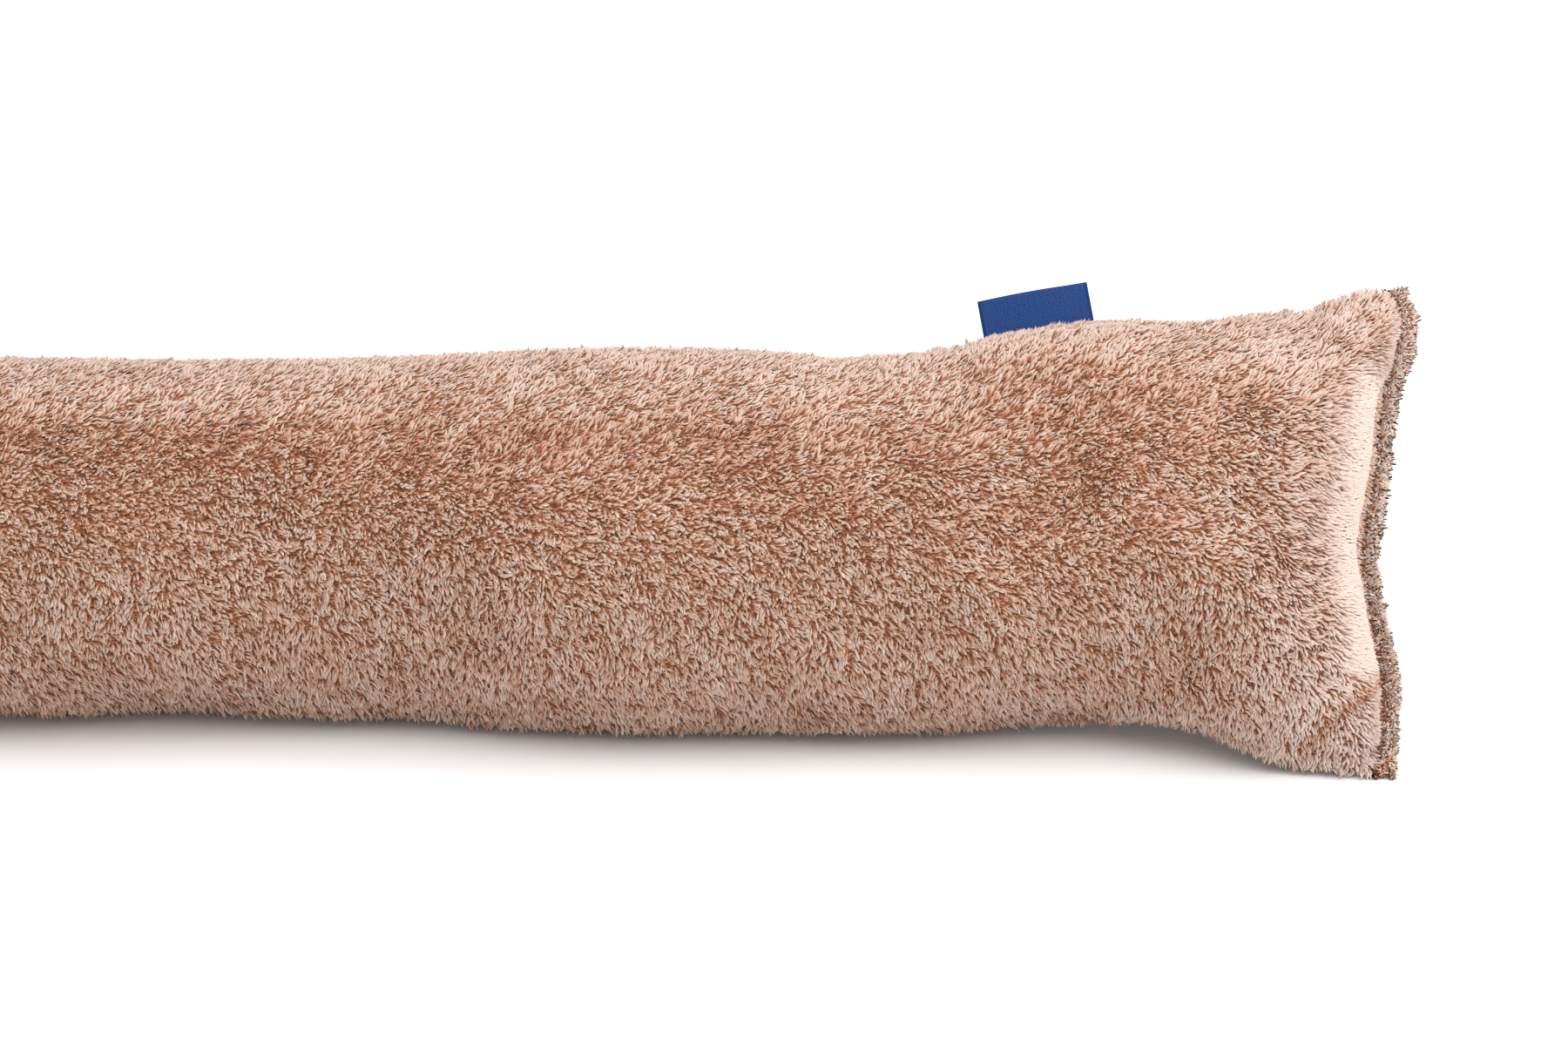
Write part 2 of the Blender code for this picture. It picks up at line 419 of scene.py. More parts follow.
def scatter(piece, pitch, seed):
    """Evenly spaced random points on a piece, and the surface's normal at each."""
    tree = bpy.data.node_groups.new("lock places", "GeometryNodeTree")
    tree.interface.new_socket("Geometry", in_out="INPUT", socket_type="NodeSocketGeometry")
    tree.interface.new_socket("Geometry", in_out="OUTPUT", socket_type="NodeSocketGeometry")
    start = tree.nodes.new("NodeGroupInput")
    spread = tree.nodes.new("GeometryNodeDistributePointsOnFaces")
    spread.distribute_method = "POISSON"
    spread.inputs["Distance Min"].default_value = pitch
    spread.inputs["Density Max"].default_value = 4 / pitch**2
    spread.inputs["Seed"].default_value = seed
    store = tree.nodes.new("GeometryNodeStoreNamedAttribute")
    store.data_type = "FLOAT_VECTOR"
    store.inputs["Name"].default_value = "stands"
    to_vertices = tree.nodes.new("GeometryNodePointsToVertices")
    end = tree.nodes.new("NodeGroupOutput")
    link = tree.links.new
    link(start.outputs[0], spread.inputs["Mesh"])
    link(spread.outputs["Points"], store.inputs["Geometry"])
    link(spread.outputs["Normal"], store.inputs["Value"])
    link(store.outputs["Geometry"], to_vertices.inputs["Points"])
    link(to_vertices.outputs["Mesh"], end.inputs[0])
    modifier = piece.modifiers.new("lock places", "NODES")
    modifier.node_group = tree
    shown = piece.evaluated_get(bpy.context.evaluated_depsgraph_get())
    found = shown.to_mesh()
    places = coordinates(found)
    normals = np.empty(len(places) * 3)
    found.attributes["stands"].data.foreach_get("vector", normals)
    shown.to_mesh_clear()
    piece.modifiers.remove(modifier)
    bpy.data.node_groups.remove(tree)
    return places, normals.reshape(-1, 3)


def swollen(piece, height):
    """A copy of a piece pushed out to the pile's tips, where its thin edges have room for a scatter."""
    mesh = piece.data.copy()
    normals = np.empty(len(mesh.vertices) * 3)
    mesh.vertices.foreach_get("normal", normals)
    mesh.vertices.foreach_set("co", coordinates(mesh).ravel() + normals * height)
    mesh.update()
    copy = bpy.data.objects.new("swollen", mesh)
    bpy.context.scene.collection.objects.link(copy)
    return copy


def on_the_cover(points):
    """The nearest place on the cover to each point, and which way the cover faces there."""
    bm = bmesh.new()
    bm.from_mesh(skin_mesh)
    tree = BVHTree.FromBMesh(bm)
    bm.free()
    found = [tree.find_nearest(Vector(point)) for point in points]
    return np.array([hit[0] for hit in found]), np.array([hit[1] for hit in found])


EDGE_SEED = 8
EDGE_PITCH = 0.74 * MM
EDGE_REACH = 13 * MM  # the second scatter takes in the sewn edge and the first of the brushed pile beside it
TURNED_UNDER = (0.55, 0.95)  # the pile thins out between these downward parts of the normal
KEPT_UNDERNEATH = 0.1
LIFTED_END = 40 * MM  # the ends do not lie on the floor, so nothing is thinned out under them
LABEL_GAP = 0.6 * MM
RANDOM_SEED = 11

rng = np.random.default_rng(RANDOM_SEED)
noise.seed_set(RANDOM_SEED)  # or the noise module would seed its vectors from the clock, new at each run
tips_level = swollen(cover, PILE_HEIGHT)
places, normals = scatter(tips_level, LOCK_PITCH, SCATTER_SEED)
more_places, more_normals = scatter(tips_level, EDGE_PITCH, EDGE_SEED)
at_edge = from_the_edge(more_places) < EDGE_REACH - PILE_HEIGHT
places = np.concatenate((places, more_places[at_edge]))
normals = np.concatenate((normals, more_normals[at_edge]))
places = places - normals * PILE_HEIGHT
bpy.data.objects.remove(tips_level)
inward = from_the_edge(places)
kept_share = np.interp(-normals[:, 2], TURNED_UNDER, (1.0, KEPT_UNDERNEATH))
keep = (inward < LIFTED_END) | (rng.uniform(0, 1, len(places)) < kept_share)
keep &= ~near_label(places, LABEL_GAP)
places, normals, inward = places[keep], normals[keep], inward[keep]
roots, root_normals = on_the_cover(places)
print(len(places), "locks")


# %% [markdown]
# ## How the pile lies
#
# The pile leans towards the labelled end, as if a hand had stroked it that way, droops on the sides and
# swirls a little from place to place. At the far end it turns round, to lie towards the stitches there
# too, and near both ends it stands more upright. Beside the stitches it is brushed flat and smooth, and
# its sheen there is painted as a pale colour. On the narrow edge outside them it is short and points every
# way, and along the stitch line itself there is a groove, whose shade is painted dark. On the floor it is
# pressed flat. Each of these is a mask, a number from 0 to 1 at every lock.

# %% Noise and easing
def unit(vectors):
    return vectors / np.maximum(np.linalg.norm(vectors, axis=-1, keepdims=True), 1e-9)


def smooth_noise(points, size, seed):
    """A smooth random number from -1 to 1 at each point, which changes over about this size."""
    shift = Vector((seed * 13.7, seed * 5.1, seed * 9.3))
    return np.array([noise.noise(Vector(point) / size + shift) for point in points])


def smooth_noise_vectors(points, size, seed):
    shift = Vector((seed * 7.3, seed * 11.9, seed * 3.7))
    return np.array([noise.noise_vector(Vector(point) / size + shift) for point in points])


def ease(values, start, end):
    """0 before start, 1 after end, and a smooth step between."""
    share = np.clip((values - start) / (end - start), 0, 1)
    return share * share * (3 - 2 * share)


# %% Masks for the parts of the cover
FLANGE = 8 * MM  # the narrow edge outside the stitch line
FLANGE_BLEND = (-1.5 * MM, 0.5 * MM)
RIM = (2 * MM, 6 * MM)
# The groove's shade is painted: locks in it are painted darker.
GROOVE_HALF = 1.4 * MM
GROOVE_SHIFT = 1.2 * MM  # the dark groove lies this far outside the stitch line, clear of the brushed pile
STITCH_WAVER = 0.7 * MM
STITCH_WAVER_SIZE = 14 * MM
SHOULDER_BLEND = 1.2 * MM
SHOULDER_START, SHOULDER_END = 15 * MM, 28 * MM
SHOULDER_MIDDLE = -0.02  # across the end, the brushed pile lies around here and fades out towards the corners
SHOULDER_FADE = (0.52, 0.68)
RAGGED = 2.5 * MM
RAGGED_SIZE = 6 * MM
# The crease's shade is painted as well: locks in it are painted darker, and shorter.
CREASE_HALF = 2.0 * MM
SECOND_CREASE = 0.3  # the second crease is this much as strong as the first
# The ridge beside the first crease is painted pale, as its highlight.
RIDGE_HALF = 4.5 * MM
RIDGE_SHIFT = 7 * MM  # the cloth stands up in a pale ridge, this far beside the first crease
RIDGE_BLEND = 2 * MM
HALF_END = 82 * MM  # half the length of the sewn end, from corner to corner
NEAR_END = (15 * MM, 90 * MM)
LOW_CORNER_ACROSS = (0.45, 0.8)
LOW_CORNER_REACH = (40 * MM, 75 * MM)
PRESSED_HEIGHTS = (3.2 * MM, 6 * MM)
TOP_FACING = (0.82, 0.98)
LAMP_FACING = (0.75, 1.0)
# A crease marks where the cloth of a corner meets the filled crown. It has four columns: how far inward and
# how far across it starts, and how far inward and how far across it ends.
CREASES = ((8 * MM, -0.62, 34 * MM, -0.90), (9 * MM, 0.74, 36 * MM, 0.95))

across = np.where(places[:, 0] > 0, labelled_end.across(places), far_end.across(places))
end_across = np.where(places[:, 0] > 0, across, -across)  # the far end is the same end, turned over


def near_crease(crease, half_width, shift=0.0):
    """1 on a crease, or on a line beside it, and near 0 well beyond the half width."""
    start = np.array((crease[0], crease[1] * HALF_END + shift))
    step = np.array((crease[2], crease[3] * HALF_END + shift)) - start
    here = np.stack((inward, end_across * HALF_END), axis=1) - start
    along = np.clip(here @ step / (step @ step), 0, 1)
    away = np.linalg.norm(here - along[:, None] * step, axis=1)
    return np.exp(-((away / half_width) ** 2))


ragged = RAGGED * smooth_noise(places, RAGGED_SIZE, 12)
from_stitches = inward - FLANGE + STITCH_WAVER * smooth_noise(places, STITCH_WAVER_SIZE, 15)
shoulder = ease(from_stitches, 0, SHOULDER_BLEND) * (1 - ease(inward + ragged, SHOULDER_START, SHOULDER_END))
shoulder *= 1 - ease(np.abs(across - SHOULDER_MIDDLE), *SHOULDER_FADE)
on_flange = 1 - ease(from_stitches, *FLANGE_BLEND)
on_rim = 1 - ease(inward, *RIM)
in_groove = np.exp(-(((from_stitches + GROOVE_SHIFT) / GROOVE_HALF) ** 2))
in_crease = near_crease(CREASES[0], CREASE_HALF)
in_crease = np.maximum(in_crease, SECOND_CREASE * near_crease(CREASES[1], CREASE_HALF))
on_ridge = near_crease(CREASES[0], RIDGE_HALF, RIDGE_SHIFT) * ease(inward, FLANGE, FLANGE + RIDGE_BLEND)
on_floor = 1 - ease(places[:, 2], *PRESSED_HEIGHTS)
on_top = ease(normals[:, 2], *TOP_FACING)
# Painted shade: locks that face the front lamp are painted darker, to even out its light.
to_lamp = unit(np.array((0.0, -0.6, 0.8)))
painted_shade_towards_lamp = ease(normals @ to_lamp, *LAMP_FACING)
near_end = 1 - ease(inward, *NEAR_END)
low_corner = ease(-across, *LOW_CORNER_ACROSS) * (1 - ease(inward, *LOW_CORNER_REACH))
thinned = np.interp(-normals[:, 2], TURNED_UNDER, (0.0, 1.0)) * (inward > LIFTED_END)


# %% Lean, swirl and length of every lock
LEAN = math.radians(53)  # from the cloth's normal
LEAN_SPREAD = math.radians(32)
LEAN_SPREAD_SIZE = 4 * MM
FLANGE_LEAN = math.radians(55)
TOP_LEAN = math.radians(72)
TOP_LEAN_SHARE = 0.8
END_LEAN = math.radians(36)
END_LEAN_SHARE = 0.7
FLAT_LEAN = math.radians(82)
RIDGE_LEAN_SHARE = 0.6
SWIRL = math.radians(48)
SWIRL_SIZE = 26 * MM
FINE_SWIRL = math.radians(104)
FINE_SWIRL_SIZE = 3.2 * MM
FLANGE_SWIRL = 4.0
FLANGE_SWIRL_SIZE = 3 * MM
SPLAY = math.radians(20)  # how far the pile turns away from the tube's middle line
SPLAY_ZONE = (-0.6, 0.6)
DROOP = math.radians(30)  # how far the side pile turns towards the floor, and twice that near the ends
TURN_ZONE = (16 * MM, 34 * MM)  # where the far end's pile turns round, to lie towards its own stitches
LOCK_LENGTH = 3.8 * MM
LENGTH_VARIES = 0.24
LENGTH_VARIES_SIZE = 6 * MM
PAST_THE_STITCHES = 2.2 * MM  # how far the brushed pile may reach beyond the stitch line

swirl = SWIRL * smooth_noise(places, SWIRL_SIZE, 1)
swirl += SPLAY * (2 * ease(normals @ UP_THE_SEAM, *SPLAY_ZONE) - 1)
swirl += FINE_SWIRL * smooth_noise(places, FINE_SWIRL_SIZE, 8)
turned = np.where(places[:, 0] < 0, 1 - ease(inward, *TURN_ZONE), 0)
swirl += DROOP * normals[:, 1] * (1 + near_end) * (1 - 2 * turned)
swirl *= 1 - shoulder
swirl += math.pi * turned
swirl += on_flange * FLANGE_SWIRL * smooth_noise(places, FLANGE_SWIRL_SIZE, 13)
lean = LEAN + LEAN_SPREAD * smooth_noise(places, LEAN_SPREAD_SIZE, 2)
lean += (FLANGE_LEAN - lean) * on_flange
lean += (TOP_LEAN - lean) * on_top * TOP_LEAN_SHARE
lean += (END_LEAN - lean) * near_end * END_LEAN_SHARE
lean += (FLAT_LEAN - lean) * np.maximum(np.maximum(shoulder, on_floor), RIDGE_LEAN_SHARE * on_ridge)
# Each mask makes the locks longer or shorter by its own share.
length = LOCK_LENGTH * (1 + LENGTH_VARIES * smooth_noise(places, LENGTH_VARIES_SIZE, 3))
length *= 1 + 0.3 * shoulder - 0.38 * on_flange - 0.16 * on_rim - 0.35 * in_groove
length *= (1 - 0.15 * in_crease) * (1 - 0.15 * on_top * (1 - shoulder))
length = np.where(from_stitches > 0, np.minimum(length, from_stitches + PAST_THE_STITCHES), length)

stroke = np.array((1.0, 0.0, 0.0))
along_cloth = unit(stroke - normals * (normals @ stroke)[:, None])
sideways = np.cross(normals, along_cloth)
lay = along_cloth * np.cos(swirl)[:, None] + sideways * np.sin(swirl)[:, None]
upright = unit(normals * 0.5 + root_normals * 0.5)
ways = upright * np.cos(lean)[:, None] + lay * np.sin(lean)[:, None]


# %% [markdown]
# ## The locks of pile
#
# The tips of neighbouring locks draw together into small curls, which leaves dark pits between them. A
# Voronoi noise gives the middles of the curls, and each tip moves a little towards the nearest. There are
# over two hundred thousand locks, so each has to be very plain: a three-sided cone, four triangles, with
# one corner of its base pulled down as the root. A ridge runs from root to tip on the outside, and the
# two sides fall away from it, so that the lock is round to the light. One lock is made with bmesh, and
# numpy sets a turned and stretched copy of it at every place.

# %% One lock
LOCK_WIDTH = 1.15 * MM
SIDE_DROP = 0.3  # how far the sides lie under the ridge, as a share of the width
BELLY = 0.6  # how far along its length a lock is widest


def one_lock():
    """The corners of one lock as (across, outwards, along), its faces, and which of them lie underneath."""
    bm = bmesh.new()
    bmesh.ops.create_cone(bm, segments=3, radius1=1, radius2=0, depth=1, cap_ends=True)
    bmesh.ops.triangulate(bm, faces=bm.faces)
    bm.verts.ensure_lookup_table()
    tip = max(bm.verts, key=lambda vert: vert.co.z)
    base = [vert for vert in bm.verts if vert is not tip]
    root, left, right = sorted(base, key=lambda vert: math.hypot(vert.co.x, vert.co.y - 1))
    root.co, tip.co = (0, 0, 0), (0, 0, 1)
    left.co, right.co = (-0.5, -SIDE_DROP, BELLY), (0.5, -SIDE_DROP, BELLY)
    if bm.calc_volume(signed=True) < 0:
        bmesh.ops.reverse_faces(bm, faces=bm.faces)
    bm.verts.index_update()
    corners = np.array([vert.co for vert in bm.verts])
    faces = np.array([[vert.index for vert in face.verts] for face in bm.faces])
    under = np.array([left in face.verts and right in face.verts for face in bm.faces])
    bm.free()
    return corners, faces, under


lock_corners, lock_faces, lock_under = one_lock()
print("one lock has", len(lock_faces), "faces")


# %% A copy of the lock at every place
CURL_SIZE = 3.8 * MM
CURL_REACH = 2.2 * MM
GATHER = 0.48
WANDER = 0.8 * MM
WANDER_SIZE = 5 * MM
TIP_JITTER = 0.55 * MM
TAKEN_OUT = 0.6  # how much of a tip's move along the normal is left out, so that the pile stays even
LENGTH_SPREAD = (0.8, 1.15)
WIDTH_SPREAD = (0.7, 1.3)
ROOT_SUNK = 0.3 * MM


def towards_curl(points):
    """How far, and which way, each point lies from the middle of its curl."""
    middles = np.array([noise.voronoi(Vector(point) / CURL_SIZE)[1][0] for point in points]) * CURL_SIZE
    away = middles - points
    far = np.linalg.norm(away, axis=1, keepdims=True)
    return away * np.minimum(1, CURL_REACH / np.maximum(far, 1e-9))


def flattened(moves):
    """Moves of the tips, with most of their part along the cloth's normal taken out."""
    return moves - normals * (np.einsum("ij,ij->i", moves, normals) * TAKEN_OUT)[:, None]


calm = (1 - 0.85 * shoulder)[:, None]  # brushed pile hardly curls
tight = (1 - 0.5 * near_end)[:, None]  # and near the ends it gathers less
off_curl = np.linalg.norm(towards_curl(roots), axis=1) / CURL_REACH
tips = roots + ways * (length * rng.uniform(*LENGTH_SPREAD, len(roots)))[:, None]
tips = tips + flattened(towards_curl(tips)) * GATHER * calm * tight
tips += smooth_noise_vectors(roots, WANDER_SIZE, 4) * WANDER * calm
tips += flattened(rng.normal(0, TIP_JITTER, (len(roots), 3))) * calm
roots = roots - root_normals * ROOT_SUNK
tips[:, 2] = np.maximum(tips[:, 2], FLOOR_CLEAR)
roots[:, 2] = np.maximum(roots[:, 2], FLOOR_CLEAR)

span = tips - roots
way = unit(span)
side = unit(np.cross(normals, way) + 1e-6)
outwards = np.cross(way, side)
width = LOCK_WIDTH * rng.uniform(*WIDTH_SPREAD, len(roots))
width *= 1 - 0.15 * on_flange + 0.6 * shoulder + 0.4 * thinned
corners = (
    roots[:, None, :]
    + side[:, None, :] * (lock_corners[:, 0] * width[:, None])[:, :, None]
    + outwards[:, None, :] * (lock_corners[:, 1] * width[:, None])[:, :, None]
    + span[:, None, :] * lock_corners[:, 2][None, :, None]
)
corners[:, :, 2] = np.maximum(corners[:, :, 2], FLOOR_CLEAR)


# %% [markdown]
# ## Soft shading
#
# Light scatters among real fibres, so a tuft has no hard light and dark side. Each lock therefore borrows
# most of its normal from the cloth under it, as leaves in a painted tree do, and keeps a little of its
# own roundness. Where the pile is brushed flat beside the stitches, it catches the light as a flat ribbon
# would, so its normal is turned out. The narrow edge is thin and seen from all round, so there each face
# keeps most of its own direction.

# %% Normals for the locks
BORROWED = 0.84
ROUNDNESS = 0.9
LEAST_FACING = 0.2  # how far a borrowed normal must still face out of its own triangle
LEAST_FACING_UNDER = 0.7
LEAST_FACING_EDGE = 0.6
EDGE_TURN = 1.4  # how strongly a face's own direction counts on the narrow edge
EDGE_KEEPS = 0.7  # how much less is borrowed there
TURNED_OUT = 0.6  # how far the normal of brushed pile turns away from the seam's plane


def soft_normals():
    """A normal for each corner of each face, borrowed from the cloth but never turned behind its own face."""
    own = outwards[:, None, :] + side[:, None, :] * (lock_corners[:, 0] * ROUNDNESS)[None, :, None]
    seam_side = np.sign(normals @ THROUGH_THE_SEAM)[:, None] * THROUGH_THE_SEAM
    borrowed = unit(normals + seam_side * TURNED_OUT * shoulder[:, None])
    share = (BORROWED * (1 - EDGE_KEEPS * on_flange))[:, None, None]
    blend = unit(borrowed[:, None, :] * share + unit(own) * (1 - share))
    first, second, third = (corners[:, lock_faces[:, i], :] for i in range(3))
    facing = unit(np.cross(second - first, third - first))[:, :, None, :]
    wanted = blend[:, lock_faces, :]
    least = np.where(lock_under, LEAST_FACING_UNDER, LEAST_FACING)
    least = np.maximum(least, LEAST_FACING_EDGE * on_flange[:, None])[:, :, None, None]
    short = np.maximum(0, least - (wanted * facing).sum(axis=3, keepdims=True))
    edge_turn = (EDGE_TURN * on_flange)[:, None, None, None]
    return unit(unit(wanted + facing * short) + facing * edge_turn)


lock_normals = soft_normals()


# %% How brushed the pile is over each part of the backing, which lifts its painted shade
# Where the pile thins out or is brushed flat, less painted shade is left on the backing.
THINNED_LOOKS = 0.6  # where the pile thins out, the backing looks this brushed

lock_tree = KDTree(len(places))
for index, point in enumerate(places):
    lock_tree.insert(point, index)
lock_tree.balance()
nearest = [lock_tree.find(point)[1] for point in coordinates(skin_mesh)]
brushed = np.maximum(shoulder, THINNED_LOOKS * thinned)[nearest].astype(np.float32)
skin_mesh.attributes.new("brushed", "FLOAT", "POINT").data.foreach_set("value", brushed)


# %% Shades and pieces
TONES = 48
# Shades above PALEST are painted sheen: the pale colour of the brushed pile beside the stitches.
PALEST = 0.76  # shades above this are the pale, brushed pile
# Painted shade: the underside of each lock takes the darker colours from lower on its ridge.
UNDER_SHADE_SHARE = 0.65  # the underside of a lock is as dark as this far up its ridge
MEAN_TONE = 0.55
CLOUD_TONE, CLOUD_SIZE = 0.26, 18 * MM
FLECK_TONE, FLECK_SIZE = 0.4, 3 * MM
# Painted shade in the pits: locks far out from the middle of their curl are painted darker, those near it
# lighter.
CURL_SHADE = 0.7
CURL_MIDDLE = 0.6  # how far out in a curl, as a share of its reach, a lock has the mean tone
LOCK_TONE = 0.12  # how much one lock differs from the next by chance

# The tone says how light a lock is: partly by chance, and partly painted shade and painted light. The
# painted light says how much painted sheen and highlight a lock gets. Each mask has its share in both.
tone = MEAN_TONE + CLOUD_TONE * smooth_noise(places, CLOUD_SIZE, 5)
tone += FLECK_TONE * smooth_noise(places, FLECK_SIZE, 6)
# Painted shade: darker in the pits between curls, and where a lock faces the lamp.
tone += CURL_SHADE * (CURL_MIDDLE - off_curl) * (1 - 0.8 * shoulder) - 0.15 * painted_shade_towards_lamp
# Painted light: lighter near the ends, on top and on the narrow edge; painted shade: darker in the groove and
# the crease.
tone += 0.35 * near_end + 0.15 * on_top + 0.5 * on_flange - 0.9 * in_groove - 0.65 * in_crease
tone += rng.normal(0, LOCK_TONE, len(places))
# Painted sheen and highlight on the brushed pile, the ridge, the top and the lower corner; painted light near
# the ends, on the narrow edge and on its rim.
painted_light = 0.68 * shoulder + 0.2 * low_corner + 0.08 * near_end + 0.3 * on_top + 0.35 * on_ridge
painted_light = np.clip(painted_light - on_flange - in_crease - in_groove, 0, 1)
painted_light += 0.25 * on_rim + 0.2 * on_flange * (1 - in_groove)
shade_of = np.clip(tone, 0, 1) * PALEST
shade_of += (1 - shade_of) * painted_light
tone_step = np.clip((shade_of * TONES).astype(int), 0, TONES - 1)
PILE_PIECES = ("pile_far_end", "pile_far_half", "pile_middle", "pile_near_half", "pile_labelled_end")


def pile_piece(name, chosen, finish):
    """One mesh of many locks. Its map runs root to tip one way, and through the shades the other way."""
    points = corners[chosen]
    number = len(points)
    faces = (lock_faces[None] + (np.arange(number) * len(lock_corners))[:, None, None]).reshape(-1, 3)
    mesh = bpy.data.meshes.new(name)
    mesh.vertices.add(number * len(lock_corners))
    mesh.vertices.foreach_set("co", points.reshape(-1))
    mesh.loops.add(faces.size)
    mesh.loops.foreach_set("vertex_index", faces.reshape(-1))
    mesh.polygons.add(len(faces))
    mesh.polygons.foreach_set("loop_start", np.arange(0, faces.size, 3))
    mesh.update(calc_edges=True)
    mesh.shade_smooth()
    soft = mesh.attributes.new("custom_normal", "FLOAT_VECTOR", "CORNER")
    soft.data.foreach_set("vector", lock_normals[chosen].reshape(-1))
    shade = (tone_step[chosen, None] + 0.5 + 0.9 * lock_corners[None, :, 0]) / TONES
    place = np.where(lock_under[:, None], UNDER_SHADE_SHARE, 1.0) * lock_corners[lock_faces, 2]
    uv = np.stack(np.broadcast_arrays(place[None], shade[:, lock_faces]), axis=3)
    mesh.uv_layers.new(name="OFBake").data.foreach_set("uv", uv.reshape(-1))
    mesh.materials.append(finish)
    piece = bpy.data.objects.new(name, mesh)
    bpy.context.scene.collection.objects.link(piece)
    print(name, len(faces), "faces")
    return piece


# %% [markdown]
# ## The plush finish
#
# Each fibre is palest at its tip, and its root sits in the shadow of the others, where light that has
# bounced from fibre to fibre turns a deep orange brown. That shade is painted into the colours from root
# to tip, and into the underside of each lock. A lock is many fibres wide, so streaks of noise run along
# it. The backing shows only between the clumps, and has the same streaks in darker colours, painted as
# the shade of the pits. Under the brushed pile, and where the pile thins out, less of that shade is
# painted, and it takes on more of the pile's own colour. The sheen of the brushed pile is painted as a
# pale colour.

# %% Pile and backing materials
FIBRES = 4  # streaks across each lock
ROOT_COLOUR = linear(142, 84, 52)
LOW_COLOUR = linear(179, 134, 110)
BODY_COLOUR = linear(196, 164, 148)
TIP_COLOUR = linear(209, 187, 176)
# The sheen of the brushed pile is painted as this pale colour.
BRUSHED_SHEEN_COLOUR = linear(219, 191, 177)
# The backing's dark colours are painted shade of the pits between the clumps.
PIT_SHADE_COLOUR = linear(86, 46, 24)
GAP_SHADE_COLOUR = linear(132, 81, 53)
BACKING_SCALE = (700, 2200, 1500)  # streaks to a metre along each axis
BRUSHED_SHARE = 0.7  # how far the backing goes over to the pile's colour


def plush_finish():
    finish = Finish("plush_pile")
    uv = finish.node("ShaderNodeUVMap", {"uv_map": "OFBake"})
    place = finish.node("ShaderNodeSeparateXYZ", {}, {0: uv})
    shade = Value(finish, place.socket.node.outputs[1])
    along = finish.node("ShaderNodeCombineXYZ", {}, {0: place * 1.6, 1: shade * (TONES * FIBRES)})
    fibre = finish.node("ShaderNodeTexNoise", {}, {"Vector": along, "Scale": 1.0, "Detail": 2.0}) - 0.5
    ramp = finish.node(
        "ShaderNodeValToRGB",
        {"stops": [(0.0, ROOT_COLOUR), (0.26, LOW_COLOUR), (0.58, BODY_COLOUR), (1.0, TIP_COLOUR)]},
        {0: place * 0.8 + (shade - PALEST / 2) * 0.7 + fibre * 2.0},
    )
    # Painted sheen: the highest shades, and the brightest streaks, go over to the pale colour of the brushed
    # pile.
    brushed = ((shade - PALEST) * (1.2 / (1 - PALEST)) + fibre * 1.4).math("ADD", 0.0)
    brushed.socket.node.use_clamp = True
    colour = finish.node(
        "ShaderNodeMix", {"data_type": "RGBA"}, {0: brushed, 6: ramp, 7: (*BRUSHED_SHEEN_COLOUR, 1.0)}, 2
    )
    bump = finish.node("ShaderNodeBump", {}, {"Strength": 0.7, "Distance": 0.3 * MM, "Height": fibre})
    return finish.shade(Base_Color=colour, Roughness=0.8, Sheen_Weight=0.12, Sheen_Roughness=0.5,
                        Sheen_Tint=(1.0, 0.8, 0.7, 1.0), Specular_IOR_Level=0.08, Subsurface_Weight=0.3,
                        Subsurface_Radius=(1.0, 0.6, 0.45), Subsurface_Scale=0.6 * MM, Normal=bump)


def backing_finish():
    finish = Finish("plush_backing")
    where = finish.node("ShaderNodeTexCoord", {}, {}, 3)
    stretched = finish.node("ShaderNodeMapping", {}, {"Vector": where, "Scale": BACKING_SCALE})
    fibres = finish.node("ShaderNodeTexNoise", {}, {"Vector": stretched, "Scale": 1.0, "Detail": 2.0})
    # Painted shade of the pits: the backing's streaks run through these dark colours, lifted towards the
    # pile's colour where the pile is brushed or thin.
    stops = [(0.40, PIT_SHADE_COLOUR), (0.52, GAP_SHADE_COLOUR), (0.66, LOW_COLOUR)]
    ramp = finish.node("ShaderNodeValToRGB", {"stops": stops}, {0: fibres})
    brushed = finish.node("ShaderNodeAttribute", {"attribute_name": "brushed"}, {}, 2)
    mix = {0: brushed * BRUSHED_SHARE, 6: ramp, 7: (*BODY_COLOUR, 1.0)}
    colour = finish.node("ShaderNodeMix", {"data_type": "RGBA"}, mix, 2)
    bump = finish.node("ShaderNodeBump", {}, {"Strength": 0.8, "Distance": 0.8 * MM, "Height": fibres})
    return finish.shade(Base_Color=colour, Roughness=0.95, Normal=bump)


pile_finish = plush_finish()
skin_mesh.materials.clear()
skin_mesh.materials.append(backing_finish())
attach(cover, "root")
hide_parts("filled_cover")

root_x = corners[:, 0, 0]
cuts = np.quantile(root_x, np.linspace(0, 1, len(PILE_PIECES) + 1))
piece_of = np.clip(np.searchsorted(cuts, root_x, side="right") - 1, 0, len(PILE_PIECES) - 1)
for index, name in enumerate(PILE_PIECES):
    piece = pile_piece(name, np.flatnonzero(piece_of == index), pile_finish)
    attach(piece, "root")


# %% [markdown]
# ## The ribbon label
#
# A short piece of woven ribbon is folded in half, and its two cut ends are caught in the seam, so that it
# stands out of the pile. It is left bare. The ribbon starts as a flat grid with a map of its own, and is
# then bent over a thin roller where the fold is. A real one never stands quite flat, so it bows a little
# and its free corners part. Solidify gives it its thickness.

# %% A folded ribbon
RIBBON_THICK = 0.4 * MM
FOLD_RADIUS = 0.5 * MM
RIBBON_BOW = 0.7 * MM
BOW_MIDDLE = 0.42  # where across the ribbon the bow is highest
BOW_TURN = 5  # radians of a cosine across the whole width
BOW_LEVEL = 0.4
RIBBON_OPENS = 0.35 * MM
ACROSS_STEPS = 28
ALONG_STEPS = 44

